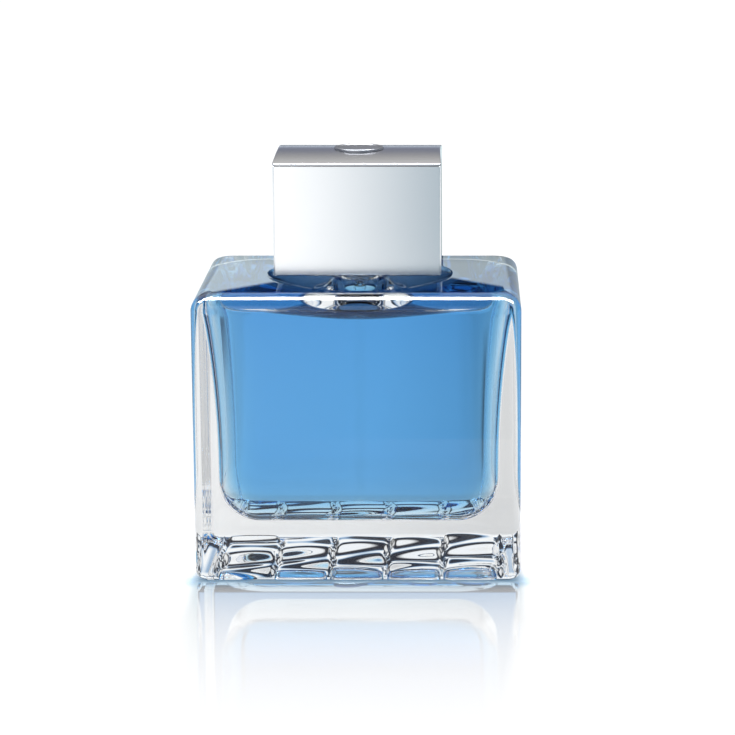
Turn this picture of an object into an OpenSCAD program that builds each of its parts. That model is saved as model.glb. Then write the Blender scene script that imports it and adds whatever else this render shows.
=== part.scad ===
// Aftershave bottle: thick clear glass, blue fill, crimped spray pump and a square metal cap.
// Millimetres, +Z up, front towards -Y, origin on the standing plane under the middle.

/* [Glass body] */
// outer width, depth and height of the glass without its neck
body_width = 72;          // [64:0.5:84]
body_depth = 53.8;        // [46:0.2:62]
body_height = 64.6;       // [54:0.2:80]
upright_edge_radius = 2.2; // [1:0.1:4]
top_edge_radius = 3.8;    // [2:0.1:5]
foot_edge_radius = 2.3;   // [1:0.1:4]

/* [Cavity] */
side_wall = 4.6;          // [3.8:0.05:7]
face_wall = 6.6;          // [4:0.05:8]
base_thickness = 11.5;    // [9:0.1:18]
shoulder_thickness = 4.1; // [3:0.1:6]
// how much thinner the walls get towards the shoulder
shoulder_flare = 3.3;     // [0.5:0.1:3.4]
// where the straight waist ends, as a share of the height of the hollow
waist_share = 0.26;       // [0.25:0.01:0.6]
cavity_corner_radius = 9.5; // [5:0.5:11]

/* [Dish and neck] */
dish_radius = 20.9;       // [17:0.1:23]
dish_depth = 4.5;         // [2:0.1:6]
dish_lip_radius = 0.7;    // [0.3:0.1:1.2]
neck_radius = 6.4;        // [5.8:0.1:6.6]
neck_bore_radius = 4.6;   // [4.5:0.1:5]
neck_foot_radius = 4;     // [1:0.5:5]
neck_height = 7.6;        // [7:0.1:8.4]
bead_radius = 7.45;       // [7:0.05:8]
bead_height = 3;          // [2.5:0.1:3.5]

/* [Ice pattern under the base] */
ice_columns = 5;          // [3:1:7]
ice_rows = 3;             // [2:1:5]
ice_depth = 2.9;          // [1:0.1:4]
ice_rib = 0.35;           // [0.2:0.05:1]
// plain rim left round the pattern at the sides and at the front and back
ice_side_margin = 4.8;    // [3:0.1:8]
ice_face_margin = 2.8;    // [2.6:0.1:6]

/* [Pump] */
barrel_radius = 4.3;      // [4:0.05:4.45]
barrel_bore_radius = 3.3; // [3:0.05:3.5]
stem_radius = 1.7;        // [1.4:0.05:2]
stem_bore_radius = 0.6;   // [0.4:0.05:0.9]
stroke = 3;               // [2.4:0.1:3.2]
tube_radius = 1.3;        // [1.1:0.05:1.5]
tube_bore_radius = 0.7;   // [0.5:0.05:0.9]
ball_radius = 0.9;        // [0.7:0.05:1]
ball_lift = 0.6;          // [0.3:0.1:0.8]
piston_slip = 0.4;        // [0.2:0.1:0.5]
piston_height = 2.2;      // [1.8:0.1:2.4]
tail_radius = 1.8;        // [1.6:0.05:2]
tail_length = 6.2;        // [5.5:0.1:8]
spring_turns = 3.5;       // [2.5:0.5:4]
spring_wire_radius = 0.18; // [0.12:0.01:0.2]

/* [Ferrule and collar] */
ferrule_radius = 8.2;     // [7.95:0.05:8.4]
ferrule_wall = 0.35;      // [0.25:0.05:0.45]
collar_radius = 10;       // [9.5:0.1:10.6]
collar_wall = 0.5;        // [0.4:0.05:0.7]
collar_slots = 6;         // [4:1:8]

/* [Spray head] */
head_radius = 6.5;        // [5.8:0.1:6.9]
head_height = 9.4;        // [8:0.1:10]
head_shell_wall = 0.55;   // [0.4:0.05:0.8]
finger_dish_depth = 0.5;  // [0.2:0.05:0.7]
nozzle_radius = 1.9;      // [1.5:0.05:2.1]
orifice_radius = 0.2;     // [0.15:0.05:0.4]

/* [Cap] */
cap_width = 36.9;         // [34:0.1:42]
cap_depth = 29.8;         // [28.6:0.1:34]
cap_gap = 2.2;            // [1.5:0.1:3]
cap_side_height = 24.4;   // [24.2:0.1:28]
cap_wall = 1.1;           // [0.8:0.1:1.2]
cap_edge_radius = 0.45;   // [0.3:0.05:1]
crown_rise = 1.35;        // [0.6:0.05:2.5]
crown_edge = 0.3;         // [0.2:0.05:0.6]
crown_groove = 0.2;       // [0.1:0.05:0.4]
medallion_radius = 5.5;   // [4:0.1:7]
medallion_height = 0.4;   // [0.2:0.05:0.6]
liner_bore_radius = 12;   // [11.6:0.1:12.2]
liner_wall = 1.1;         // [0.8:0.1:1.2]
grip_ribs = 8;            // [4:1:12]

/* [Fits] */
liquid_clearance = 0.05;  // [0.02:0.01:0.2]
running_clearance = 0.04; // [0.02:0.01:0.08]
seat_clearance = 0.02;    // [0.01:0.01:0.05]

$fn = 96;

// ---------- levels, from the standing plane up ----------
ceiling_z = body_height - shoulder_thickness;
dish_sphere = (dish_radius * dish_radius + dish_depth * dish_depth) / (2 * dish_depth);
dish_centre_z = body_height - dish_depth + dish_sphere;
dish_floor_z = body_height - dish_depth;
bowl_sphere = dish_sphere + shoulder_thickness + 0.1;
bowl_floor_z = dish_centre_z - bowl_sphere;
neck_top_z = body_height + neck_height;
bead_z = neck_top_z - bead_height;
gasket_height = 0.8;
flange_z = neck_top_z + gasket_height;
flange_height = 1.2;
flange_top_z = flange_z + flange_height;
collar_foot_z = bead_z - 0.6;
collar_top_z = flange_top_z + 2;
cup_top_z = flange_top_z + 1.2;
plug_depth = 0.6 * barrel_bore_radius;
stop_height = 0.5;
spring_seat_height = 0.7;
cup_radius = barrel_radius + 0.1;
ferrule_opening = cup_radius + seat_clearance;
collar_opening = head_radius + 0.9;
sleeve_opening = head_radius + 0.5;
piston_z = flange_top_z - plug_depth - seat_clearance - stop_height - piston_slip - seat_clearance - piston_height;
spring_top_z = piston_z - spring_seat_height - seat_clearance;
barrel_floor_z = spring_top_z - stroke - 1.55;
barrel_floor_height = 0.8;
tail_foot_z = barrel_floor_z - tail_length;
inlet_radius = 0.55;
ball_chamber_radius = ball_radius + 0.2;
ball_seat_z = barrel_floor_z - barrel_floor_height - 2 * ball_radius - ball_lift + 0.1;
ball_z = ball_seat_z + sqrt(ball_radius * ball_radius - inlet_radius * inlet_radius) + 0.01;
head_foot_z = collar_top_z + stroke;
head_top_z = head_foot_z + head_height;
stem_top_z = head_foot_z + 4.8;
nozzle_z = head_foot_z + 5.6;
cap_foot_z = body_height + cap_gap;
cap_side_top_z = cap_foot_z + cap_side_height;
crown_edge_z = cap_side_top_z + crown_groove;
crown_top_z = crown_edge_z + crown_edge + crown_rise;
liner_top_z = cap_side_top_z - 0.6;
liner_ceiling_z = liner_top_z - 1.1;

// ---------- shared forms ----------
module rounded_rect(w, d, r) {
    square([w - 2 * r, d], center = true);
    square([w, d - 2 * r], center = true);
    for (sx = [-1, 1], sy = [-1, 1]) translate([sx * (w / 2 - r), sy * (d / 2 - r)]) circle(r);
}

// upright block outline with one radius at the foot and another at the top
module block_outline(half, h, r_foot, r_top) {
    translate([-half + max(r_foot, r_top), 0]) square([2 * (half - max(r_foot, r_top)), h]);
    translate([-half, r_foot]) square([2 * half, h - r_foot - r_top]);
    for (s = [-1, 1]) {
        translate([s * (half - r_foot), r_foot]) circle(r_foot);
        translate([s * (half - r_top), h - r_top]) circle(r_top);
    }
    translate([-half + r_foot, 0]) square([2 * (half - r_foot), r_foot]);
    translate([-half + r_top, h - r_top]) square([2 * (half - r_top), r_top]);
}

module along_y(length) { rotate([90, 0, 0]) translate([0, 0, -length / 2]) linear_extrude(length) children(); }
module along_x(length) { rotate([90, 0, 90]) translate([0, 0, -length / 2]) linear_extrude(length) children(); }
module tube(r_out, r_in, z0, z1) {
    difference() {
        translate([0, 0, z0]) cylinder(r = r_out, h = z1 - z0);
        translate([0, 0, z0 - 1]) cylinder(r = r_in, h = z1 - z0 + 2);
    }
}

// ---------- cavity ----------
// Outline of the hollow at a given half width: round foot, straight waist, walls thinning upwards.
waist_z = base_thickness + waist_share * (ceiling_z - base_thickness);
flare_run = ceiling_z - waist_z;
flare_radius = (flare_run * flare_run + shoulder_flare * shoulder_flare) / (2 * shoulder_flare);

module hollow_outline(half, trim) {
    r = cavity_corner_radius - trim;
    h = half - trim;
    z0 = base_thickness + trim;
    difference() {
        translate([-h - shoulder_flare, waist_z]) square([2 * (h + shoulder_flare), ceiling_z - trim - waist_z]);
        for (s = [-1, 1]) translate([s * (h + flare_radius), waist_z]) circle(flare_radius, $fn = 200);
    }
    translate([-h, z0 + r]) square([2 * h, waist_z - z0 - r + 0.001]);
    if (h > r + 0.01) translate([-h + r, z0]) square([2 * (h - r), r + 0.001]);
    for (s = [-1, 1]) translate([s * (h - r), z0 + r]) circle(r);
}

module hollow(trim) {
    hx = body_width / 2 - side_wall;
    hy = body_depth / 2 - face_wall;
    r = cavity_corner_radius;
    along_y(2 * (hy - r)) hollow_outline(hx, trim);
    along_x(2 * (hx - r)) hollow_outline(hy, trim);
    for (sx = [-1, 1], sy = [-1, 1]) translate([sx * (hx - r), sy * (hy - r), 0])
        rotate_extrude() intersection() {
            hollow_outline(r, trim);
            square([r + 10, body_height + 10]);
        }
}

// the bowl-shaped floor of the dish, with the bore's flared mouth, as it hangs into the hollow
module bowl(grow) {
    difference() {
        intersection() {
            translate([0, 0, dish_centre_z]) sphere(bowl_sphere + grow);
            translate([0, 0, bowl_floor_z - 1]) cylinder(r = dish_radius + 5, h = 12);
        }
        translate([0, 0, bowl_floor_z - 2]) cylinder(r = neck_bore_radius, h = 20);
    }
}

// ---------- glass ----------
module outer_block() {
    intersection() {
        along_y(body_depth) block_outline(body_width / 2, body_height, foot_edge_radius, top_edge_radius);
        along_x(body_width) block_outline(body_depth / 2, body_height, foot_edge_radius, top_edge_radius);
        linear_extrude(body_height) rounded_rect(body_width, body_depth, upright_edge_radius);
    }
}

module ice_pattern() {
    px = (body_width - 2 * ice_side_margin) / ice_columns;
    py = (body_depth - 2 * ice_face_margin) / ice_rows;
    cx = (px - ice_rib) / 2;
    cy = (py - ice_rib) / 2;
    rx = (cx * cx + ice_depth * ice_depth) / (2 * ice_depth);
    ry = (cy * cy + ice_depth * ice_depth) / (2 * ice_depth);
    intersection() {
        for (i = [0 : ice_columns - 1])
            translate([(i - (ice_columns - 1) / 2) * px, 0, 0])
                along_y(body_depth - 2 * ice_face_margin) translate([0, ice_depth - rx]) circle(rx);
        for (j = [0 : ice_rows - 1])
            translate([0, (j - (ice_rows - 1) / 2) * py, 0])
                along_x(body_width - 2 * ice_side_margin) translate([0, ice_depth - ry]) circle(ry);
        translate([-body_width / 2, -body_depth / 2, -1]) cube([body_width, body_depth, ice_depth + 2]);
    }
}

// everything outside the neck and above the dish, turned about the upright axis
module dish_space() {
    r = neck_foot_radius;
    foot_z = dish_centre_z - sqrt(dish_sphere * dish_sphere - (neck_radius + r) * (neck_radius + r));
    difference() {
        rotate_extrude() difference() {
            union() {
                intersection() {
                    translate([0, dish_centre_z]) circle(dish_sphere, $fn = 200);
                    translate([0, dish_floor_z - 1]) square([dish_radius + 1, dish_depth + 1.001]);
                }
                translate([0, body_height]) square([dish_radius + 6, 20]);
            }
            // the lip is rounded over where the dish meets the flat shoulder
            square([neck_radius, body_height + 30]);
            difference() {
                translate([neck_radius - 0.001, dish_floor_z - 2]) square([r, foot_z + r - dish_floor_z + 2]);
                translate([neck_radius + r, foot_z + r]) circle(r);
            }
        }
    }
}

module neck_solid() {
    rotate_extrude() {
        translate([0, ceiling_z - 1]) square([neck_radius, neck_top_z - ceiling_z + 1]);
        translate([0, bead_z]) square([bead_radius - 0.8, bead_height]);
        translate([0, bead_z + 0.8]) square([bead_radius, bead_height - 1.6]);
        translate([bead_radius - 0.8, bead_z + 0.8]) circle(0.8);
        translate([bead_radius - 0.8, neck_top_z - 0.8]) circle(0.8);
    }
}

module glass_bottle() {
    color([0.93, 0.96, 0.97, 0.35])
    difference() {
        union() {
            difference() {
                outer_block();
                dish_space();
                difference() {
                    hollow(0);
                    bowl(0);
                }
            }
            neck_solid();
        }
        translate([0, 0, bowl_floor_z - 2]) cylinder(r = neck_bore_radius, h = neck_top_z - bowl_floor_z + 3);
        ice_pattern();
    }
}

// ---------- liquid ----------
module aftershave_fill() {
    color([0.36, 0.64, 0.85, 0.6])
    difference() {
        hollow(liquid_clearance);
        intersection() {
            translate([0, 0, dish_centre_z]) sphere(bowl_sphere + liquid_clearance);
            translate([0, 0, bowl_floor_z - 1]) cylinder(r = dish_radius + 6, h = 14);
        }
        translate([0, 0, tail_foot_z - liquid_clearance]) cylinder(r = tail_radius + liquid_clearance, h = 20);
        translate([0, 0, base_thickness + 0.5]) cylinder(r = tube_radius + liquid_clearance, h = 60);
    }
}

// ---------- pump, fixed pieces ----------
module neck_gasket() {
    color([0.85, 0.86, 0.86]) tube(bead_radius - 0.25, barrel_radius + 0.02, neck_top_z, flange_z);
}

module pump_housing() {
    color([0.93, 0.94, 0.95])
    difference() {
        rotate_extrude() {
            translate([0, flange_z]) square([bead_radius - 0.2, flange_height]);
            translate([0, barrel_floor_z]) square([barrel_radius, flange_top_z - barrel_floor_z]);
            // the barrel closes in to a slender tail
            difference() {
                translate([0, barrel_floor_z - (barrel_radius - tail_radius)]) square([barrel_radius, barrel_radius - tail_radius + 0.01]);
                translate([barrel_radius, barrel_floor_z - (barrel_radius - tail_radius)]) circle(barrel_radius - tail_radius);
            }
            translate([0, tail_foot_z]) square([tail_radius, tail_length]);
        }
        translate([0, 0, barrel_floor_z]) cylinder(r = barrel_bore_radius, h = flange_top_z - barrel_floor_z + 1);
        // way through the floor, ball chamber and its seat, and the socket for the tube
        translate([0, 0, tail_foot_z - 1]) cylinder(r = inlet_radius, h = tail_length + 2);
        translate([0, 0, ball_seat_z]) cylinder(r = ball_chamber_radius, h = ball_z + ball_radius + ball_lift + 0.05 - ball_seat_z);
        translate([0, 0, tail_foot_z - 1]) cylinder(r = tube_radius, h = ball_seat_z - 0.6 - tail_foot_z + 1);
        // slots that let the liquid past the lifted ball
        for (a = [0 : 90 : 270]) rotate(a) translate([0, -0.2, ball_z]) cube([ball_chamber_radius, 0.4, barrel_floor_z - ball_z + 0.5]);
    }
}

module dip_tube() {
    color([0.96, 0.97, 0.98, 0.5])
    difference() {
        tube(tube_radius, tube_bore_radius, base_thickness + 0.9, ball_seat_z - 0.6);
        translate([0, 0, base_thickness + 0.9]) rotate([90, 0, 0]) linear_extrude(10, center = true)
            polygon([[-2, -1], [2, -1], [0, 1.6]]);
    }
}

module closure_cup() {
    color([0.9, 0.91, 0.92])
    difference() {
        union() {
            translate([0, 0, flange_top_z - plug_depth]) cylinder(r = barrel_bore_radius, h = plug_depth + 0.5);
            translate([0, 0, flange_top_z]) cylinder(r1 = cup_radius, r2 = cup_radius - 0.4, h = cup_top_z - flange_top_z);
        }
        translate([0, 0, flange_top_z - 3]) cylinder(r = stem_radius + running_clearance, h = 8);
        translate([0, 0, cup_top_z - 0.5]) cylinder(r1 = stem_radius + running_clearance, r2 = stem_radius + 0.7, h = 0.6);
    }
}

module crimp_ferrule() {
    color([0.82, 0.83, 0.85])
    rotate_extrude() {
        translate([ferrule_radius - ferrule_wall, bead_z - 0.6]) square([ferrule_wall, flange_top_z - bead_z + 0.6]);
        // crimped edge under the glass bead
        polygon([[neck_radius + 0.45, bead_z - 0.6], [ferrule_radius - 0.05, bead_z - 0.6], [ferrule_radius - 0.05, bead_z - 0.05], [neck_radius + 0.45, bead_z - 0.05]]);
        difference() {
            translate([ferrule_opening, flange_top_z]) square([ferrule_radius - ferrule_opening, ferrule_wall + 0.25]);
            translate([ferrule_opening + 1, flange_top_z + ferrule_wall]) square([ferrule_radius - ferrule_opening - 1.8, 1]);
            translate([ferrule_radius - 0.3, flange_top_z + 0.3]) difference() { square(0.31); circle(0.3); }
        }
    }
}

module collar_insert() {
    r_out = collar_radius - collar_wall - seat_clearance;
    color([0.2, 0.21, 0.23])
    difference() {
        rotate_extrude() {
            translate([ferrule_radius + seat_clearance, collar_foot_z]) square([r_out - ferrule_radius - seat_clearance, flange_top_z + 0.7 - collar_foot_z]);
            translate([sleeve_opening, flange_top_z + 0.65]) square([r_out - sleeve_opening, collar_top_z - 0.4 - flange_top_z - 0.65]);
        }
        // slots that let the sleeve spring over the ferrule
        for (i = [0 : collar_slots - 1]) rotate(i * 360 / collar_slots)
            translate([ferrule_radius - 1, -0.5, collar_foot_z - 1]) cube([6, 1, 4]);
    }
}

module collar_ring() {
    color([0.8, 0.82, 0.85])
    rotate_extrude() {
        difference() {
            translate([collar_radius - collar_wall, collar_foot_z]) square([collar_wall, collar_top_z - collar_foot_z]);
            translate([collar_radius - 0.25, collar_top_z - 0.25]) difference() { square(0.26); circle(0.25); }
        }
        translate([collar_opening, collar_top_z - 0.38]) square([collar_radius - 0.4 - collar_opening, 0.38]);
    }
}

// ---------- pump, moving pieces ----------
module inlet_ball() {
    color([0.75, 0.76, 0.78]) translate([0, 0, ball_z]) sphere(ball_radius);
}

module pump_stem() {
    waist_radius = stem_radius - 0.5;
    shoulder_z = piston_z + piston_height + piston_slip + seat_clearance;
    port_radius = 0.3;
    port_z = piston_z + piston_height / 2;
    bore_foot_z = port_z - port_radius - 0.2;
    color([0.94, 0.95, 0.96])
    difference() {
        rotate_extrude() {
            // spring seat, thin waist that carries the piston, stop collar, tube
            translate([0, spring_top_z]) square([barrel_bore_radius - 0.7, spring_seat_height]);
            translate([0, spring_top_z]) square([waist_radius, shoulder_z - spring_top_z + 0.1]);
            translate([0, shoulder_z]) square([barrel_bore_radius - 0.9, stop_height]);
            translate([0, shoulder_z]) square([stem_radius, stem_top_z - shoulder_z]);
        }
        translate([0, 0, bore_foot_z]) cylinder(r = stem_bore_radius, h = stem_top_z - piston_z);
        // side port that the piston covers at rest
        translate([0, 0, port_z]) rotate([90, 0, 0])
            cylinder(r = port_radius, h = 2 * stem_radius, center = true);
    }
}

module piston_seal() {
    inner = stem_radius - 0.5 + running_clearance;
    color([0.55, 0.6, 0.66])
    translate([0, 0, piston_z]) rotate_extrude() difference() {
        translate([inner, 0]) square([barrel_bore_radius - inner - running_clearance, piston_height]);
        // waist between the two wiping lips, and the cup under the lower one
        translate([barrel_bore_radius - 0.5, 0.6]) square([1, piston_height - 1.2]);
        polygon([[2, -0.1], [barrel_bore_radius - 0.35, -0.1], [2.5, 0.55], [2, 0.55]]);
    }
}

module return_spring() {
    wire = spring_wire_radius;
    mean = 2.3;
    z0 = barrel_floor_z + wire + seat_clearance;
    z1 = spring_top_z - wire - seat_clearance;
    steps = 18;
    sides = 8;
    n = ceil(spring_turns * steps);
    // each cross section stands square to the wire's path at that turn
    function rise(t) = let(u = t / n, e = 0.16) u < e ? 2 * wire * u / e * 1.1 : u > 1 - e ? (z1 - z0) - 2 * wire * (1 - u) / e * 1.1 : 2.2 * wire + (z1 - z0 - 4.4 * wire) * (u - e) / (1 - 2 * e);
    pts = [for (i = [0 : n]) let(a = 360 * i / steps) for (k = [0 : sides - 1]) let(b = 360 * k / sides)
        [(mean + wire * cos(b)) * cos(a), (mean + wire * cos(b)) * sin(a), z0 + rise(i) + wire * sin(b)]];
    side_faces = [for (i = [0 : n - 1], k = [0 : sides - 1]) let(m = (k + 1) % sides)
        [i * sides + k, i * sides + m, (i + 1) * sides + m, (i + 1) * sides + k]];
    ends = [[for (k = [sides - 1 : -1 : 0]) k], [for (k = [0 : sides - 1]) n * sides + k]];
    color([0.72, 0.73, 0.76]) polyhedron(points = pts, faces = concat(side_faces, ends), convexity = 8);
}

// ---------- spray head ----------
module actuator_core() {
    r = head_radius - head_shell_wall - seat_clearance;
    color([0.9, 0.91, 0.93])
    difference() {
        translate([0, 0, head_foot_z + 0.4]) cylinder(r = r, h = head_height - 1.4 - finger_dish_depth);
        // socket for the stem, hollow skirt around it, channel and pocket for the nozzle
        translate([0, 0, head_foot_z - 1]) cylinder(r = stem_radius + running_clearance, h = stem_top_z - head_foot_z + 1.3);
        difference() {
            translate([0, 0, head_foot_z - 1]) cylinder(r = r - 0.9, h = 4.2);
            translate([0, 0, head_foot_z - 2]) cylinder(r = stem_radius + 1.1, h = head_height);
        }
        translate([0, 0, nozzle_z - 0.7]) cylinder(r = 0.7, h = 1.4);
        translate([0, 0, nozzle_z]) rotate([90, 0, 0]) cylinder(r = 0.6, h = head_radius);
        difference() {
            translate([0, -r + 2.4, nozzle_z]) rotate([90, 0, 0]) cylinder(r = nozzle_radius, h = head_radius);
            translate([0, -r + 3, nozzle_z]) rotate([90, 0, 0]) difference() {
                cylinder(r = 0.9, h = 2.2);
                translate([0, 0, -1]) cylinder(r = 0.35, h = 4);
                // cross slots that set the liquid swirling
                translate([-0.15, -1, 1.9]) cube([0.3, 2, 1]);
                translate([-1, -0.15, 1.9]) cube([2, 0.3, 1]);
            }
        }
    }
}

module actuator_shell() {
    dish = (head_radius - 0.8) * (head_radius - 0.8);
    big = (dish + finger_dish_depth * finger_dish_depth) / (2 * finger_dish_depth);
    color([0.78, 0.8, 0.83])
    difference() {
        rotate_extrude() difference() {
            union() {
                translate([0, head_foot_z]) square([head_radius, head_height - 0.5]);
                translate([0, head_foot_z]) square([head_radius - 0.5, head_height]);
                translate([head_radius - 0.5, head_top_z - 0.5]) circle(0.5);
            }
            translate([-1, head_foot_z - 1]) square([head_radius - head_shell_wall + 1, head_height - finger_dish_depth]);
            // shallow hollow for the fingertip
            translate([0, head_top_z + big - finger_dish_depth]) circle(big, $fn = 200);
        }
        translate([0, -head_radius + 2, nozzle_z]) rotate([90, 0, 0]) cylinder(r = nozzle_radius + 0.1, h = 6);
    }
}

module nozzle_insert() {
    r = head_radius - head_shell_wall - seat_clearance;
    color([0.96, 0.97, 0.98])
    translate([0, -r + 2.4, nozzle_z]) rotate([90, 0, 0]) difference() {
        cylinder(r = nozzle_radius, h = 2.75);
        translate([0, 0, -1]) cylinder(r = 0.92, h = 2.65);
        cylinder(r = orifice_radius, h = 6);
        translate([0, 0, 2.35]) cylinder(r1 = orifice_radius, r2 = orifice_radius + 0.6, h = 0.5);
    }
}

// ---------- cap ----------
module cap_shell() {
    color([0.86, 0.88, 0.9])
    difference() {
        intersection() {
            translate([0, 0, cap_foot_z]) linear_extrude(cap_side_height) rounded_rect(cap_width, cap_depth, cap_edge_radius);
            // lightly broken edge round the mouth
            along_y(cap_depth + 2) translate([0, cap_foot_z]) block_outline(cap_width / 2, cap_side_height + 2, 0.3, 0.3);
            along_x(cap_width + 2) translate([0, cap_foot_z]) block_outline(cap_depth / 2, cap_side_height + 2, 0.3, 0.3);
        }
        translate([0, 0, cap_foot_z - 1]) linear_extrude(cap_side_height + 2) rounded_rect(cap_width - 2 * cap_wall, cap_depth - 2 * cap_wall, 0.3);
    }
}

module cap_crown() {
    lip = 0.12;
    w = cap_width + 2 * lip;
    d = cap_depth + 2 * lip;
    arch = ((d / 2) * (d / 2) + crown_rise * crown_rise) / (2 * crown_rise);
    color([0.55, 0.57, 0.61])
    difference() {
        union() {
            // arched plate, its ends cut with a small radius
            intersection() {
                translate([0, 0, crown_edge_z]) linear_extrude(crown_edge + crown_rise + 1) rounded_rect(w, d, cap_edge_radius + lip);
                along_x(w + 2) translate([0, crown_top_z - arch]) circle(arch, $fn = 200);
                along_y(d + 2) translate([0, crown_edge_z - 4]) block_outline(w / 2, crown_top_z - crown_edge_z + 4.02, 0.3, 0.8);
            }
            // shadow groove and the register that drops inside the sides
            translate([0, 0, cap_side_top_z]) linear_extrude(crown_groove + 0.01) rounded_rect(cap_width - 0.7, cap_depth - 0.7, 0.3);
            translate([0, 0, cap_side_top_z - 0.6]) linear_extrude(0.7) rounded_rect(cap_width - 2 * cap_wall - 0.02, cap_depth - 2 * cap_wall - 0.02, 0.28);
        }
        translate([0, 0, crown_top_z - 0.35]) cylinder(r = medallion_radius + 0.05, h = 3);
    }
}

module cap_medallion() {
    r = medallion_radius;
    z = crown_top_z - 0.35;
    color([0.75, 0.77, 0.8])
    rotate_extrude() difference() {
        union() {
            translate([0, z]) square([r, 0.35 + medallion_height - 0.2]);
            translate([0, z]) square([r - 0.2, 0.35 + medallion_height]);
            translate([r - 0.2, z + 0.15 + medallion_height]) circle(0.2);
        }
        // sunk field inside a raised rim
        translate([0, z + 0.35 + medallion_height - 0.12]) square([r - 0.75, 1]);
    }
}

module cap_liner() {
    wx = cap_width - 2 * cap_wall - 0.04;
    wy = cap_depth - 2 * cap_wall - 0.04;
    foot = cap_foot_z + 0.3;
    color([0.16, 0.17, 0.19])
    difference() {
        union() {
            translate([0, 0, foot]) linear_extrude(1.2) rounded_rect(wx, wy, 0.28);
            translate([0, 0, liner_ceiling_z]) linear_extrude(liner_top_z - liner_ceiling_z) rounded_rect(wx, wy, 0.28);
            difference() {
                translate([0, 0, foot]) cylinder(r = liner_bore_radius + liner_wall, h = liner_top_z - foot);
            }
            // webs that carry the round sleeve inside the square sides
            intersection() {
                for (a = [39, 141, 219, 321]) rotate(a) translate([liner_bore_radius + 0.5, -0.5, foot]) cube([12, 1, liner_top_z - foot]);
                translate([0, 0, foot]) linear_extrude(liner_top_z - foot) rounded_rect(wx, wy, 0.28);
            }
            for (s = [-1, 1]) translate([s > 0 ? liner_bore_radius + 0.5 : -wx / 2, -0.5, foot]) cube([wx / 2 - liner_bore_radius - 0.5, 1, liner_top_z - foot]);
        }
        // bore
        difference() {
            translate([0, 0, foot - 1]) cylinder(r = liner_bore_radius, h = liner_ceiling_z - foot + 1);
            // ribs that grip the collar, each with a step that rests on the collar's top
            for (i = [0 : grip_ribs - 1]) rotate((i + 0.5) * 360 / grip_ribs) {
                translate([collar_radius + running_clearance, -0.45, foot + 0.8]) cube([3, 0.9, collar_top_z - foot + 1]);
                translate([collar_radius - 1, -0.45, collar_top_z + seat_clearance]) cube([3, 0.9, 1.8 - seat_clearance]);
            }
        }
        // lead-in round the mouth
        translate([0, 0, foot - 0.01]) cylinder(r1 = liner_bore_radius + 0.6, r2 = liner_bore_radius, h = 0.6);
    }
}

glass_bottle();
aftershave_fill();
neck_gasket();
pump_housing();
dip_tube();
closure_cup();
crimp_ferrule();
collar_insert();
collar_ring();
inlet_ball();
pump_stem();
piston_seal();
return_spring();
actuator_core();
actuator_shell();
nozzle_insert();
cap_shell();
cap_crown();
cap_medallion();
cap_liner();
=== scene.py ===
import math

import bmesh
import bpy
import numpy as np
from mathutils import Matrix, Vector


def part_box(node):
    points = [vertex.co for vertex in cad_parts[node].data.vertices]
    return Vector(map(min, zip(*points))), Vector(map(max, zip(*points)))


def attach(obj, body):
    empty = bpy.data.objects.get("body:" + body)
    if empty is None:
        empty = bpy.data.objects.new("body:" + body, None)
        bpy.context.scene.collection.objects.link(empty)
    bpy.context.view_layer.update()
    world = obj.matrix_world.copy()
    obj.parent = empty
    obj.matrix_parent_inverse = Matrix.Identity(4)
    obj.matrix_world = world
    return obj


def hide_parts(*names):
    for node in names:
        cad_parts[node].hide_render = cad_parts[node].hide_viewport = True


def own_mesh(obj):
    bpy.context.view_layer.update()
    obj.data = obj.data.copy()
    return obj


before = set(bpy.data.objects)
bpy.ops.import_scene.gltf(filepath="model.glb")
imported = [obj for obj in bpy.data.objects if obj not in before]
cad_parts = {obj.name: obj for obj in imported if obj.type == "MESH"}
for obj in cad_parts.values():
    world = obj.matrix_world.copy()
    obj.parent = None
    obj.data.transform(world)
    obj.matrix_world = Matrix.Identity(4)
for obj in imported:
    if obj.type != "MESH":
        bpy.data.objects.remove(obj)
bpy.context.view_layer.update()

# ------------------------------------------------------------
# Studio: a long lens from just above the shoulder of the bottle, a white table
# that mirrors near the bottle's foot, and cards, flags and a banded surround that
# show only in reflections or through glass and give both their edges.
scene = bpy.context.scene
scene.view_settings.view_transform = "Standard"
scene.cycles.max_bounces = 28
scene.cycles.transmission_bounces = 26
scene.cycles.glossy_bounces = 10
scene.cycles.diffuse_bounces = 4
scene.cycles.transparent_max_bounces = 12

LENS_MM = 135.3
CAMERA_AT = (0.0234, -0.6143, 0.1768)
CAMERA_PITCH_DEG = 12.30
CAMERA_SHIFT_X = -0.1307

camera_data = bpy.data.cameras.new("camera")
camera_data.lens = LENS_MM
camera_data.sensor_width = 36.0
camera_data.shift_x = CAMERA_SHIFT_X
camera_data.clip_start = 0.02
camera_data.clip_end = 60.0
camera = bpy.data.objects.new("camera", camera_data)
camera.location = CAMERA_AT
camera.rotation_euler = (math.radians(90 - CAMERA_PITCH_DEG), 0.0, 0.0)
scene.collection.objects.link(camera)
scene.camera = camera


def add_node(tree, kind, inputs=(), **settings):
    """Adds one node. Its inputs are given by name or place, each as a value or a socket to link."""
    node = tree.nodes.new(kind)
    for field, value in settings.items():
        setattr(node, field, value)
    for name, value in dict(inputs).items():
        if isinstance(value, bpy.types.NodeSocket):
            tree.links.new(value, node.inputs[name])
        else:
            node.inputs[name].default_value = value
    return node


def new_material(name):
    material = bpy.data.materials.new(name)
    material.use_nodes = True
    material.node_tree.nodes.clear()
    return material, material.node_tree


def ramp(tree, source, low, high, low_value, high_value, kind="LINEAR"):
    """A value that goes from one level to another as the source does, and is held at its ends."""
    return add_node(tree, "ShaderNodeMapRange", {
        "Value": source, "From Min": low, "From Max": high, "To Min": low_value, "To Max": high_value,
    }, interpolation_type=kind).outputs["Result"]


def maths(tree, operation, *values):
    return add_node(tree, "ShaderNodeMath", dict(enumerate(values)), operation=operation).outputs[0]


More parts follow.
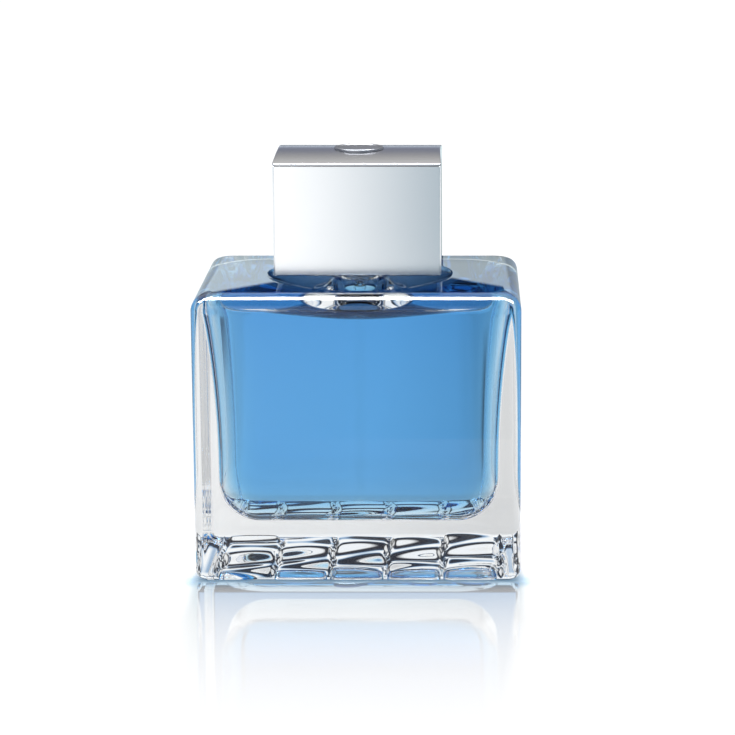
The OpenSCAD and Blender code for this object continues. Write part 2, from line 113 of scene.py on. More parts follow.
def vector_maths(tree, operation, *values):
    return add_node(tree, "ShaderNodeVectorMath", dict(enumerate(values)), operation=operation).outputs


def object_place(tree):
    return add_node(tree, "ShaderNodeTexCoord").outputs["Object"]


def ray_kinds(tree):
    """The kinds of ray, and a mask for rays that a surface mirrored and no glass bent."""
    rays = add_node(tree, "ShaderNodeLightPath").outputs
    return rays, maths(tree, "SUBTRACT", rays["Is Glossy Ray"], rays["Is Transmission Ray"])


def blend_colours(tree, share, first, second):
    """A colour that goes from the first to the second as the share goes from 0 to 1."""
    mix = add_node(tree, "ShaderNodeMix", {0: share, 6: first, 7: second}, data_type="RGBA")
    return mix.outputs[2]


def show(tree, shader):
    return add_node(tree, "ShaderNodeOutputMaterial", {"Surface": shader.outputs[0]})


def rectangle(name, corners, material):
    mesh = bpy.data.meshes.new(name)
    mesh.from_pydata(corners, [], [(0, 1, 2, 3)])
    mesh.materials.append(material)
    sheet = bpy.data.objects.new(name, mesh)
    scene.collection.objects.link(sheet)
    return sheet


glass_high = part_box("glass_bottle")[1]
TABLE_HALF = 6.0
TABLE_GLOW = 0.66  # light of its own, seen directly, mirrored or through glass
GLOW_UNDER = 0.06  # share of that glow left under the bottle: a painted shadow
GLOW_THROUGH = 0.76  # share of it that glass shows: a painted dimming of the table seen through glass
MIRROR_AT_FOOT = 0.72
MIRROR_FADE = 0.036  # metres over which the mirror falls to about a third
CONTACT_SHARE = 0.55  # share of it where the table meets the bottle: a painted contact shadow
SIDE_LIFT = 0.45  # painted light added to it beside the bottle
RIGHT_SHARE = 0.78  # share of it that glass shows on the right: painted shade
EDGE = 0.001
LANE_HALF = 0.034
# the colour of the painted blue light at the bottle's foot
PAINTED_BLUE_POOL = (0.30, 0.58, 0.84, 1)

# how far a point of the table is from the bottle's foot
white_table, tree = new_material("white_table")
place = object_place(tree)
footprint = (glass_high[0] - EDGE, glass_high[1] - EDGE, 0.0)
outside = vector_maths(tree, "SUBTRACT", vector_maths(tree, "ABSOLUTE", place)[0], footprint)[0]
outside = vector_maths(tree, "MAXIMUM", outside, (0, 0, 0))[0]
distance = vector_maths(tree, "LENGTH", outside)["Value"]
axes = add_node(tree, "ShaderNodeSeparateXYZ", {0: place}).outputs

# the glow as it is seen directly: a painted contact shadow at the foot, painted light to both sides of it
painted_contact_shade_and_light = ramp(tree, distance, 0.0, 0.0025, CONTACT_SHARE, 1.0)
sideways = maths(tree, "ABSOLUTE", axes["X"])
sides = ramp(tree, sideways, glass_high[0] - EDGE, glass_high[0] + EDGE, 0.0, SIDE_LIFT)
lift = maths(tree, "MULTIPLY", sides, ramp(tree, distance, 0.0, 0.030, 1.0, 0.0, "SMOOTHSTEP"))
painted_contact_shade_and_light = maths(tree, "MULTIPLY", painted_contact_shade_and_light, maths(tree, "ADD", lift, 1.0))

# the glow as glass shows it, with painted shade near the foot, on the right and in two dark flanks beside the
# middle lane
near = ramp(tree, distance, 0.0, 0.010, 0.62, 1.0, "SMOOTHSTEP")
near = maths(tree, "MULTIPLY", near, ramp(tree, distance, 0.014, 0.034, 1.0, 0.93, "SMOOTHSTEP"))
near = maths(tree, "MULTIPLY", near, ramp(tree, distance, 0.0, 0.0004, GLOW_UNDER, 1.0))
off_lane = maths(tree, "MULTIPLY_ADD", axes["Y"], 0.04, maths(tree, "ADD", axes["X"], 0.002))
off_lane = maths(tree, "ABSOLUTE", off_lane)
depth = maths(tree, "ABSOLUTE", axes["Y"])
widening = maths(tree, "MULTIPLY_ADD", depth, -0.075, off_lane)
lane = ramp(tree, widening, LANE_HALF, 0.052, 1.0, 0.87, "SMOOTHSTEP")
painted_right_shade = ramp(tree, axes["X"], 0.0, 0.035, 1.0, RIGHT_SHARE)
painted_right_shade = maths(tree, "MAXIMUM", painted_right_shade, ramp(tree, depth, 0.3, 0.6, 0.0, 1.0))
lane = maths(tree, "MULTIPLY", lane, painted_right_shade)
turn = maths(tree, "SUBTRACT", off_lane, LANE_HALF)
turn = maths(tree, "DIVIDE", turn, maths(tree, "MAXIMUM", depth, 0.03))
painted_dark_flank = ramp(tree, turn, 0.235, 0.40, 1.0, 0.02, "SMOOTHSTEP")
painted_dark_flank = maths(tree, "MAXIMUM", painted_dark_flank, ramp(tree, turn, 0.85, 1.20, 0.0, 1.0, "SMOOTHSTEP"))
painted_dark_flank = maths(tree, "MAXIMUM", painted_dark_flank, ramp(tree, depth, 0.036, 0.050, 1.0, 0.0))
beyond = ramp(tree, distance, 0.11, 0.20, 0.0, 1.0, "SMOOTHSTEP")
lane = maths(tree, "MULTIPLY", lane, maths(tree, "MAXIMUM", painted_dark_flank, beyond))
shade = maths(tree, "MULTIPLY", near, maths(tree, "MULTIPLY", lane, GLOW_THROUGH))

# painted blue light at the foot, and how the glow meets each kind of ray
behind = maths(tree, "MAXIMUM", maths(tree, "ADD", axes["Y"], 0.024), 0.0)
spilt = maths(tree, "MULTIPLY_ADD", behind, 0.6, distance)
painted_blue_pool = blend_colours(tree, ramp(tree, spilt, 0.0, 0.006, 0.0, 1.0, "SMOOTHSTEP"), PAINTED_BLUE_POOL, (1, 1, 1, 1))
rays, bounced = ray_kinds(tree)
direct = maths(tree, "MULTIPLY", maths(tree, "MAXIMUM", rays["Is Camera Ray"], bounced), painted_contact_shade_and_light)
seen = maths(tree, "ADD", direct, maths(tree, "MULTIPLY", rays["Is Transmission Ray"], shade))
strength = maths(tree, "MULTIPLY", seen, TABLE_GLOW)
glow = add_node(tree, "ShaderNodeEmission", {"Color": painted_blue_pool, "Strength": strength})
# the matte part, darkened as painted shade where glass shows the table outside the lane
painted_off_lane_shade = maths(tree, "MULTIPLY", rays["Is Transmission Ray"], maths(tree, "SUBTRACT", 1.0, lane))
matte_tone_with_painted_shade = blend_colours(tree, painted_off_lane_shade, (0.46, 0.465, 0.47, 1), (0.02, 0.025, 0.035, 1))
matte = add_node(tree, "ShaderNodeBsdfDiffuse", {"Color": matte_tone_with_painted_shade})
lit = add_node(tree, "ShaderNodeAddShader", {0: matte.outputs[0], 1: glow.outputs[0]})

# the mirror in front of the bottle, which fades forwards and is no wider than the bottle, with a painted blue
# tint near the foot
painted_blue_tint = blend_colours(tree, ramp(tree, distance, 0.0, 0.032, 0.0, 1.0), (0.66, 0.86, 1, 1), (1, 1, 1, 1))
mirror = add_node(tree, "ShaderNodeBsdfAnisotropic", {"Color": painted_blue_tint, "Roughness": 0.03})
ahead = maths(tree, "MULTIPLY_ADD", axes["Y"], -1.0, -glass_high[1])
fade = maths(tree, "EXPONENT", maths(tree, "MULTIPLY", ahead, -1 / MIRROR_FADE))
along = maths(tree, "MULTIPLY", fade, ramp(tree, ahead, -0.001, 0.001, 0.0, MIRROR_AT_FOOT))
beside = maths(tree, "MULTIPLY_ADD", ahead, 0.06, maths(tree, "ABSOLUTE", axes["X"]))
across = ramp(tree, beside, glass_high[0] - EDGE, glass_high[0] + 0.003, 1.0, 0.0)
share = maths(tree, "MULTIPLY", along, across)
top = add_node(tree, "ShaderNodeMixShader", {0: share, 1: lit.outputs[0], 2: mirror.outputs[0]})
show(tree, top)
square = ((-1, -1), (1, -1), (1, 1), (-1, 1))
rectangle("table", [(x * TABLE_HALF, y * TABLE_HALF, -0.00002) for x, y in square], white_table)


def reflector(name, corners, strength):
    """A card that shows only as a reflection. Gives its tree, its place and the socket for its colour."""
    material, tree = new_material(name)
    glow = add_node(tree, "ShaderNodeEmission", {"Strength": strength})
    bounced = ray_kinds(tree)[1]
    clear = add_node(tree, "ShaderNodeBsdfTransparent")
    face = add_node(tree, "ShaderNodeMixShader", {0: bounced, 1: clear.outputs[0], 2: glow.outputs[0]})
    show(tree, face)
    sheet = rectangle(name, corners, material)
    sheet.visible_camera = False
    sheet.visible_diffuse = False
    sheet.visible_shadow = False
    place = object_place(tree)
    return tree, add_node(tree, "ShaderNodeSeparateXYZ", {0: place}).outputs, glow.inputs["Color"]


def upright(half_w, y, low, high):
    """The corners of an upright card that faces the bottle."""
    return [(-half_w, y, low), (half_w, y, low), (half_w, y, high), (-half_w, y, high)]


# in front, a card graded for the metal, its far left end grey to set off the cap seen at a slant
tree, axes, colour = reflector("graded_card", upright(0.25, -0.16, 0, 0.16), 1.20)
share = ramp(tree, axes["X"], -0.040, 0.040, 0.0, 1.0)
tone = blend_colours(tree, share, (0.98, 0.99, 1, 1), (0.34, 0.41, 0.46, 1))
share = ramp(tree, axes["X"], -0.15, -0.08, 0.68, 0.0)
tone = blend_colours(tree, share, tone, (0.42, 0.50, 0.55, 1))
tree.links.new(tone, colour)

# behind, a low card for the shoulder, its top edge cut to a shallow V, dark above that edge
tree, axes, colour = reflector("shoulder_card", upright(0.20, 0.10, 0, 0.0915), 1.36)
edge = maths(tree, "MULTIPLY_ADD", maths(tree, "ABSOLUTE", axes["X"]), -0.172, axes["Z"])
share = ramp(tree, edge, 0.0802, 0.0808, 0.0, 1.0)
tone = blend_colours(tree, share, (0.84, 0.97, 1, 1), (0.01, 0.015, 0.03, 1))
tone = blend_colours(tree, ramp(tree, axes["X"], -0.036, 0.034, 0.0, 0.24), tone, (0, 0, 0, 1))
tone = blend_colours(tree, ramp(tree, axes["Z"], 0.0755, 0.0805, 0.46, 0.0), tone, (0, 0, 0, 1))
tree.links.new(tone, colour)

# just behind the bottle, a dark flag seen only in reflections: painted shade that keeps the dish under the
# cap dark
colour = reflector("dish_flag", upright(0.0185, 0.033, 0.060, 0.091), 1.0)[2]
colour.default_value = (0.015, 0.03, 0.06, 1)

# overhead, a long soft box that draws one white line along each top edge
overhead = [(-0.35, -0.12, 0.50), (0.35, -0.12, 0.50), (0.35, 0.09, 0.50), (-0.35, 0.09, 0.50)]
colour = reflector("soft_box", overhead, 30.0)[2]
colour.default_value = (1, 1, 1, 1)

world = bpy.data.worlds.new("surround")
scene.world = world
world.use_nodes = True
tree = world.node_tree
tree.nodes.clear()
direction = add_node(tree, "ShaderNodeTexCoord").outputs["Generated"]
axes = add_node(tree, "ShaderNodeSeparateXYZ", {0: direction}).outputs


def banded(levels, strength=1.0):
    """A background from (sine of the height above the table, red, green, blue) levels."""
    bands = add_node(tree, "ShaderNodeValToRGB", {0: axes["Z"]})
    while len(bands.color_ramp.elements) < len(levels):
        bands.color_ramp.elements.new(0.5)
    for element, (height, red, green, blue) in zip(bands.color_ramp.elements, levels):
        element.position = height
        element.color = (red, green, blue, 1)
    colour = bands.outputs[0]
    return add_node(tree, "ShaderNodeBackground", {"Color": colour, "Strength": strength}).outputs[0]


# what lights the scene and shows in reflections, under a canopy that is dark ahead and above
rays = add_node(tree, "ShaderNodeLightPath").outputs
aside = maths(tree, "ABSOLUTE", axes["X"])
canopy = ramp(tree, axes["Y"], -0.40, -0.22, 0.10, 1.0)
canopy = maths(tree, "MAXIMUM", canopy, ramp(tree, aside, 0.20, 0.35, 0.0, 1.0))
canopy = maths(tree, "MAXIMUM", canopy, maths(tree, "SUBTRACT", 1.0, rays["Is Glossy Ray"]))
lighting = banded((
    (0.0, 0.80, 0.90, 1.0), (0.05, 0.50, 0.56, 0.66), (0.13, 0.20, 0.215, 0.29),
    (0.24, 0.25, 0.265, 0.32), (0.36, 0.46, 0.455, 0.45), (0.52, 0.90, 0.89, 0.86),
    (0.72, 1.05, 1.05, 1.05), (1.0, 1.1, 1.1, 1.1)), canopy)

# what shows through glass: one dark band, dark flags to both sides and white wings beyond them
flags = ramp(tree, aside, 0.26, 0.36, 1.0, 0.08, "SMOOTHSTEP")
through = banded((
    (0.0, 0.88, 0.90, 0.91), (0.20, 0.95, 0.96, 0.97), (0.26, 0.66, 0.75, 0.85),
    (0.305, 0.22, 0.36, 0.56), (0.34, 0.01, 0.015, 0.03), (0.62, 0.01, 0.01, 0.02),
    (0.70, 0.9, 0.92, 0.94), (1.0, 1.0, 1.0, 1.0)), flags)
plain = add_node(tree, "ShaderNodeBackground", {"Color": (1, 1, 1, 1)}).outputs[0]
wings = ramp(tree, aside, 0.40, 0.50, 0.0, 0.85)
through = add_node(tree, "ShaderNodeMixShader", {0: wings, 1: through, 2: plain}).outputs[0]
surround = add_node(
    tree, "ShaderNodeMixShader", {0: rays["Is Transmission Ray"], 1: lighting, 2: through}).outputs[0]
surround = add_node(tree, "ShaderNodeMixShader", {0: rays["Is Camera Ray"], 1: surround, 2: plain}).outputs[0]
add_node(tree, "ShaderNodeOutputWorld", {"Surface": surround})

# ------------------------------------------------------------
# Glass bottle: pressed and blown clear glass, one thick-walled block with a
# shallow round dish in its top, a crimp neck, and an underside moulded like ice.
MM = 0.001
HALF_W = glass_high[0] / MM
HALF_D = glass_high[1] / MM
NECK_H = 7.6
SHOULDER = glass_high[2] / MM - NECK_H
FOOT_R, TOP_R, UPRIGHT_R = 2.3, 3.8, 2.2
FOOT_CORNER_R, TOP_CORNER_MORE = 1.2, 0.6  # the upright corners, at the foot and added at the top
FLAT_EDGE = 0.15                           # a narrow band that keeps a flat face flat up to its fillet
LONG_STEPS, SHORT_STEPS, CORNER_STEPS = 120, 88, 10
RING = 2 * (LONG_STEPS + SHORT_STEPS)


def unit(angle):
    return np.array([math.cos(angle), math.sin(angle)])


def block_ring(half_w, half_d, radius, z):
    """A rounded rectangle, counter-clockwise from the front left corner."""
    points = []
    corners = ((-1, -1, 225), (1, -1, 315), (1, 1, 45), (-1, 1, 135))
    for side, steps in enumerate((LONG_STEPS, SHORT_STEPS, LONG_STEPS, SHORT_STEPS)):
        sx, sy, middle = corners[side]
        nx, ny, _ = corners[(side + 1) % 4]
        start = np.array([sx * (half_w - radius), sy * (half_d - radius)])
        end = np.array([nx * (half_w - radius), ny * (half_d - radius)])
        for k in range(CORNER_STEPS):
            points.append(start + radius * unit(math.radians(middle + 45 * k / CORNER_STEPS)))
        outward = math.radians(middle + 45)
        offset = radius * unit(outward)
        straight = steps - 2 * CORNER_STEPS
        for k in range(straight):
            points.append(start + offset + (end - start) * k / straight)
        for k in range(CORNER_STEPS):
            points.append(end + radius * unit(outward + math.radians(45 * k / CORNER_STEPS)))
    points = np.array(points)
    return np.column_stack([points, np.full(len(points), z)])


def round_ring(radius, z):
    """A circle whose points line up with those of block_ring."""
    angles = []
    for side, steps in enumerate((LONG_STEPS, SHORT_STEPS, LONG_STEPS, SHORT_STEPS)):
        angles += [math.radians(225 + 90 * side + 90 * k / steps) for k in range(steps)]
    angles = np.array(angles)
    return np.column_stack([radius * np.cos(angles), radius * np.sin(angles), np.full(len(angles), z)])


def arc(centre, radius, start_deg, end_deg, steps):
    angles = np.radians(np.linspace(start_deg, end_deg, steps + 1))
    return [(centre[0] + radius * math.cos(a), centre[1] + radius * math.sin(a)) for a in angles]


# the dish, the neck and the bore, as (radius, height) going inwards and down
DISH_R, DISH_DEPTH, LIP_R = 20.9, 4.5, 1.0
DISH_BALL = (DISH_R ** 2 + DISH_DEPTH ** 2) / (2 * DISH_DEPTH)
DISH_CENTRE = SHOULDER - DISH_DEPTH + DISH_BALL
DISH_SLOPE = math.degrees(math.asin(DISH_R / DISH_BALL))
NECK_R, BORE_R, BEAD_R, BEAD_H, NECK_FOOT_R = 6.4, 4.6, 7.45, 3.0, 4.0
NECK_TOP = SHOULDER + NECK_H
ROOF_WALL, BOWL_WALL = 4.1, 4.2
CEILING = SHOULDER - ROOF_WALL
BOWL_BALL = DISH_BALL + BOWL_WALL
MOUTH_R = 2.6


def ball_points(ball, radii):
    """Points on a sphere about the dish's centre, as (radius, height)."""
    return [(r, DISH_CENTRE - math.sqrt(ball ** 2 - r * r)) for r in radii]


lip_centre = (DISH_R + LIP_R * math.tan(math.radians(DISH_SLOPE / 2)), SHOULDER - LIP_R)
foot_centre = (NECK_R + NECK_FOOT_R,
               DISH_CENTRE - math.sqrt((DISH_BALL - NECK_FOOT_R) ** 2 - (NECK_R + NECK_FOOT_R) ** 2))
foot_start = math.degrees(math.atan2(foot_centre[1] - DISH_CENTRE, foot_centre[0]))
foot_touch = DISH_BALL * math.cos(math.radians(foot_start))
dish_edge = lip_centre[0] - LIP_R * math.sin(math.radians(DISH_SLOPE))

turned = [(lip_centre[0] + 0.25, SHOULDER)]
turned += arc(lip_centre, LIP_R, 90, 90 + DISH_SLOPE, 6)
turned += ball_points(DISH_BALL, np.linspace(dish_edge, foot_touch, 18)[1:])
turned += arc(foot_centre, NECK_FOOT_R, foot_start, -180, 10)[1:]
turned += [(NECK_R, NECK_TOP - BEAD_H - 0.5)]
turned += arc((NECK_R + 0.35, NECK_TOP - BEAD_H - 0.4), 0.35, 180, 90, 3)
turned += arc((BEAD_R - 0.8, NECK_TOP - BEAD_H + 0.75), 0.8, -90, 0, 5)
turned += arc((BEAD_R - 0.8, NECK_TOP - 0.8), 0.8, 0, 90, 5)
turned += arc((BORE_R + 0.4, NECK_TOP - 0.4), 0.4, 90, 180, 4)
mouth_centre = (BORE_R + MOUTH_R,
                DISH_CENTRE - math.sqrt((BOWL_BALL - MOUTH_R) ** 2 - (BORE_R + MOUTH_R) ** 2))
mouth_end = math.degrees(math.atan2(mouth_centre[1] - DISH_CENTRE, mouth_centre[0]))
turned += [(BORE_R, mouth_centre[1] + 0.3)]
DRY_RINGS = len(turned)
turned += arc(mouth_centre, MOUTH_R, -180, mouth_end, 8)
bowl_start = BOWL_BALL * math.cos(math.radians(mouth_end))
BOWL_LIP_R = 1.6
lip_z = CEILING - BOWL_LIP_R
lip_r = math.sqrt((BOWL_BALL + BOWL_LIP_R) ** 2 - (DISH_CENTRE - lip_z) ** 2)
lip_from = math.degrees(math.atan2(DISH_CENTRE - lip_z, -lip_r))
bowl_end = BOWL_BALL * lip_r / (BOWL_BALL + BOWL_LIP_R)
turned += ball_points(BOWL_BALL, np.linspace(bowl_start, bowl_end, 18)[1:])
turned += arc((lip_r, lip_z), BOWL_LIP_R, lip_from, 90, 5)[1:]
turned += [(lip_r + 0.2, CEILING)]

# the hollow: round foot, upright waist, walls that thin towards the shoulder
FLOOR, HOLLOW_R, FLARE, ROOF_R = 11.5, 9.5, 3.3, 1.6
SIDE_WALL, FACE_WALL, WAIST_SHARE = 4.6, 6.6, 0.26
WAIST_W, WAIST_D = HALF_W - SIDE_WALL, HALF_D - FACE_WALL
WAIST_Z = FLOOR + WAIST_SHARE * (CEILING - FLOOR)
FLARE_RUN = CEILING - WAIST_Z
FLARE_BALL = (FLARE_RUN ** 2 + FLARE ** 2) / (2 * FLARE)


def flare_at(z):
    return FLARE_BALL - math.sqrt(FLARE_BALL ** 2 - max(z - WAIST_Z, 0.0) ** 2)


DRY, WET, OVER, BOWL = range(4)  # bare glass, glass on the fill, the flat ceiling over it, its bowl; the last two carry painted shade
rings, ring_sides = [], []
ICE_W, ICE_D = HALF_W - 3.2, HALF_D - 2.8


def add_ring(points, side=DRY):
    rings.append(points)
    ring_sides.append(side)


x_steps = np.linspace(-ICE_W, ICE_W, LONG_STEPS + 1)
y_steps = np.linspace(-ICE_D, ICE_D, SHORT_STEPS + 1)
ice_rim = ([(x, -ICE_D, 0.0) for x in x_steps[:-1]] + [(ICE_W, y, 0.0) for y in y_steps[:-1]]
           + [(x, ICE_D, 0.0) for x in x_steps[:0:-1]] + [(-ICE_W, y, 0.0) for y in y_steps[:0:-1]])
add_ring(np.array(ice_rim))
add_ring(block_ring(HALF_W - FOOT_R - 0.05, HALF_D - FOOT_R - 0.05, FOOT_CORNER_R, 0.0))
for inset, z in arc((FOOT_R, FOOT_R), FOOT_R, 270, 180, 9):
    corner_r = FOOT_CORNER_R + (UPRIGHT_R - FOOT_CORNER_R) * (1 - inset / FOOT_R)
    add_ring(block_ring(HALF_W - inset, HALF_D - inset, corner_r, z))
add_ring(block_ring(HALF_W, HALF_D, UPRIGHT_R, FOOT_R + FLAT_EDGE))
add_ring(block_ring(HALF_W, HALF_D, UPRIGHT_R, SHOULDER - TOP_R - FLAT_EDGE))
for inset, z in arc((TOP_R, SHOULDER - TOP_R), TOP_R, 180, 90, 14):
    corner_r = UPRIGHT_R + TOP_CORNER_MORE * inset / TOP_R
    add_ring(block_ring(HALF_W - inset, HALF_D - inset, corner_r, z))
add_ring(block_ring(
    HALF_W - TOP_R - FLAT_EDGE, HALF_D - TOP_R - FLAT_EDGE, UPRIGHT_R + TOP_CORNER_MORE, SHOULDER))
for k, (r, z) in enumerate(turned):
    add_ring(round_ring(r, z), DRY if k < DRY_RINGS else (BOWL if k < len(turned) - 1 else OVER))
roof_w, roof_d, roof_r = WAIST_W + FLARE, WAIST_D + FLARE, HOLLOW_R + FLARE
add_ring(block_ring(roof_w - ROOF_R - 0.2, roof_d - ROOF_R - 0.2, roof_r - ROOF_R - 0.2, CEILING), OVER)
for inset, z in arc((ROOF_R, CEILING - ROOF_R), ROOF_R, 90, 180, 6):
    more = flare_at(z) - inset
    add_ring(block_ring(WAIST_W + more, WAIST_D + more, HOLLOW_R + more, z), WET)
for z in np.linspace(CEILING - ROOF_R, WAIST_Z, 12)[1:]:
    more = flare_at(z)
    add_ring(block_ring(WAIST_W + more, WAIST_D + more, HOLLOW_R + more, z), WET)
add_ring(block_ring(WAIST_W, WAIST_D, HOLLOW_R, FLOOR + HOLLOW_R + 0.2), WET)
for inset, z in arc((HOLLOW_R, FLOOR + HOLLOW_R), HOLLOW_R, 180, 270, 16):
    add_ring(block_ring(WAIST_W - inset, WAIST_D - inset, max(HOLLOW_R - inset, 0.25), z), WET)
for share in (0.97, 0.6, 0.25):
    add_ring(block_ring((WAIST_W - HOLLOW_R) * share, (WAIST_D - HOLLOW_R) * share, 0.25 * share, FLOOR), WET)

# ice-like underside: hollowed columns crossed by soft waves, their seams left down
ICE_COLUMN, ICE_DEPTH, ICE_LIMIT, ICE_BORDER = 12.5, 2.2, 3.6, 1.1


def ice_height(x, y):
    """How far the underside is raised at a point, in millimetres."""
    across = x / ICE_COLUMN + 2.5 + 0.030 * np.sin(0.30 * y + 1.3)
    column = np.floor(across)
    u = 2 * (across - column) - 1
    start = 2.4 * column + 0.7
    dome = 1 - 0.14 * u ** 2 - 0.86 * np.abs(u) ** 18
    waves = 0.30 * np.sin(0.19 * y + 2.3 * start + 0.5 * u) + 0.14 * np.sin(0.43 * y + 4.1 * start - 0.8 * u)
    from_side = np.clip((ICE_W - np.abs(x)) / ICE_BORDER, 0, 1)
    from_end = np.clip((ICE_D - np.abs(y)) / ICE_BORDER, 0, 1)
    edge = np.minimum(from_side, from_end)
    return np.clip(ICE_DEPTH * dome * (0.85 + waves), 0.0, ICE_LIMIT) * np.sin(edge * math.pi / 2)


vertices = np.concatenate(rings)
faces, face_sides = [], []
for i in range(len(rings) - 1):
    for k in range(RING):
        m = (k + 1) % RING
        faces.append((i * RING + k, i * RING + m, (i + 1) * RING + m, (i + 1) * RING + k))
        face_sides.append(ring_sides[i])
last = (len(rings) - 1) * RING
centre_at = len(vertices)
vertices = np.vstack([vertices, [(0, 0, FLOOR)]])
for k in range(RING):
    faces.append((last + k, last + (k + 1) % RING, centre_at))
    face_sides.append(WET)
grid_x, grid_y = np.meshgrid(x_steps[1:-1], y_steps[1:-1], indexing="ij")
grid_z = ice_height(grid_x, grid_y)
inner_at = len(vertices)
vertices = np.vstack([vertices, np.column_stack([grid_x.ravel(), grid_y.ravel(), grid_z.ravel()])])


def ice_vertex(i, j):
    """The index of a grid point: those on the rim belong to the first ring."""
    if j == 0:
        return i
    if i == LONG_STEPS:
        return LONG_STEPS + j
    if j == SHORT_STEPS:
        return LONG_STEPS + SHORT_STEPS + (LONG_STEPS - i)
    if i == 0:
        return (2 * LONG_STEPS + SHORT_STEPS + (SHORT_STEPS - j)) % RING
    return inner_at + (i - 1) * (SHORT_STEPS - 1) + (j - 1)


for i in range(LONG_STEPS):
    for j in range(SHORT_STEPS):
        faces.append((ice_vertex(i, j), ice_vertex(i, j + 1), ice_vertex(i + 1, j + 1), ice_vertex(i + 1, j)))
        face_sides.append(DRY)


def make_piece(name, points_mm, polygons, crease_deg=180.0):
    """A smooth-shaded mesh object from points in millimetres; edges sharper than the crease stay sharp."""
    mesh = bpy.data.meshes.new(name)
    mesh.from_pydata([tuple(float(c) * MM for c in point) for point in points_mm], [], polygons)
    mesh.validate()
    form = bmesh.new()
    form.from_mesh(mesh)
    bmesh.ops.recalc_face_normals(form, faces=form.faces)
    form.to_mesh(mesh)
    form.free()
    mesh.polygons.foreach_set("use_smooth", [True] * len(mesh.polygons))
    if crease_deg < 180.0:
        mesh.set_sharp_from_angle(angle=math.radians(crease_deg))
    piece = bpy.data.objects.new(name, mesh)
    scene.collection.objects.link(piece)
    return piece


def fit_piece(piece, body, slot, material, *nodes):
    """Gives a piece its finish, and says what it rides on and which CAD nodes it stands for."""
    if material is not None:
        piece.data.materials.clear()
        piece.data.materials.append(material)
    if nodes:
        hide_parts(*nodes)
    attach(piece, body)


GLASS_IOR, FILL_IOR = 1.5, 1.36


def clear_material(name, colour, ior, roughness=0.0):
    """Something light passes through, with a colour that hardly varies over its surface."""
    material, tree = new_material(name)
    place = object_place(tree)
    cloud = add_node(tree, "ShaderNodeTexNoise", {"Vector": place, "Scale": 70.0, "Detail": 2.0}).outputs[0]
    tint = blend_colours(tree, cloud, tuple(0.992 * c for c in colour) + (1,), tuple(colour) + (1,))
    shader = add_node(tree, "ShaderNodeBsdfPrincipled", {
        "Base Color": tint, "Roughness": roughness, "IOR": ior, "Transmission Weight": 1.0})
    return material, tree, show(tree, shader)


glass = make_piece("glass_block", vertices, faces)
clear_glass = clear_material("clear_flint_glass", (0.99, 1.0, 1.0), GLASS_IOR)[0]
wet_glass = clear_material("glass_wetted_by_fill", (1.0, 1.0, 1.0), GLASS_IOR / FILL_IOR)[0]
# the ceiling over the fill and its bowl are tinted dark blue: painted shade on the dish under the cap
painted_shade_ceiling_glass = clear_material("glass_over_the_fill", (0.20, 0.32, 0.52), 1.02)[0]
painted_shade_bowl_glass = clear_material("glass_bowl_over_the_fill", (0.02, 0.04, 0.10), GLASS_IOR / FILL_IOR)[0]
for kind in (clear_glass, wet_glass, painted_shade_ceiling_glass, painted_shade_bowl_glass):
    glass.data.materials.append(kind)
glass.data.polygons.foreach_set("material_index", face_sides)
fit_piece(glass, "bottle", "glass", None, "glass_bottle")

# ------------------------------------------------------------
# Aftershave: a clear light blue alcohol and water mix that fills the hollow,
# and the thread of it that stands in the dip tube.
FILL_COLOUR, FILL_DENSITY = (0.197, 0.690, 0.930, 1), 70.0


def dress(node, material):
    """Gives a carried CAD node another finish."""
    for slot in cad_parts[node].material_slots:
        slot.material = material


def tinted_material(name, ior, colour, density):
    material, tree, out = clear_material(name, (1.0, 1.0, 1.0), ior)
    tint = add_node(tree, "ShaderNodeVolumeAbsorption", {"Color": colour, "Density": density})
    tree.links.new(tint.outputs[0], out.inputs["Volume"])
    return material


blue_aftershave = tinted_material("blue_aftershave", 1.0, FILL_COLOUR, FILL_DENSITY)
dress("aftershave_fill", blue_aftershave)


def spin(outline, steps=96):
    """The points and faces of a turned form, from a closed outline of (radius, height)."""
    points, polygons, rows = [], [], []
    for r, z in outline:
        count = steps if r > 1e-6 else 1
        rows.append((len(points), count))
        angles = [2 * math.pi * k / steps for k in range(count)]
        points += [(r * math.cos(a), r * math.sin(a), z) for a in angles]
    for (a, a_count), (b, b_count) in zip(rows, rows[1:] + rows[:1]):
        for k in range(steps):
            m = (k + 1) % steps
            corners = dict.fromkeys((a + k % a_count, a + m % a_count, b + m % b_count, b + k % b_count))
            if len(corners) > 2:
                polygons.append(tuple(corners))
    return points, polygons


def rounded(corners, steps=4):
    """A closed outline from (radius, height, fillet) corners, each fillet as an arc."""
    points = []
    for k, (x, z, fillet) in enumerate(corners):
        here = np.array([x, z], float)
        if not fillet:
            points.append((x, z))
            continue
        back = np.array(corners[k - 1][:2]) - here
        ahead = np.array(corners[(k + 1) % len(corners)][:2]) - here
        back /= np.linalg.norm(back)
        ahead /= np.linalg.norm(ahead)
        half = math.acos(float(np.clip(back @ ahead, -1, 1))) / 2
        centre = here + (back + ahead) / np.linalg.norm(back + ahead) * fillet / math.sin(half)
        start = here + back * fillet / math.tan(half) - centre
        end = here + ahead * fillet / math.tan(half) - centre
        turn = math.atan2(start[0] * end[1] - start[1] * end[0], float(start @ end))
        first = math.atan2(start[1], start[0])
        points += [tuple(centre + fillet * unit(first + turn * s / steps)) for s in range(steps + 1)]
    return points


def box_mm(node):
    """A node's lowest and highest corners in millimetres."""
    low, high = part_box(node)
    return [c / MM for c in low], [c / MM for c in high]


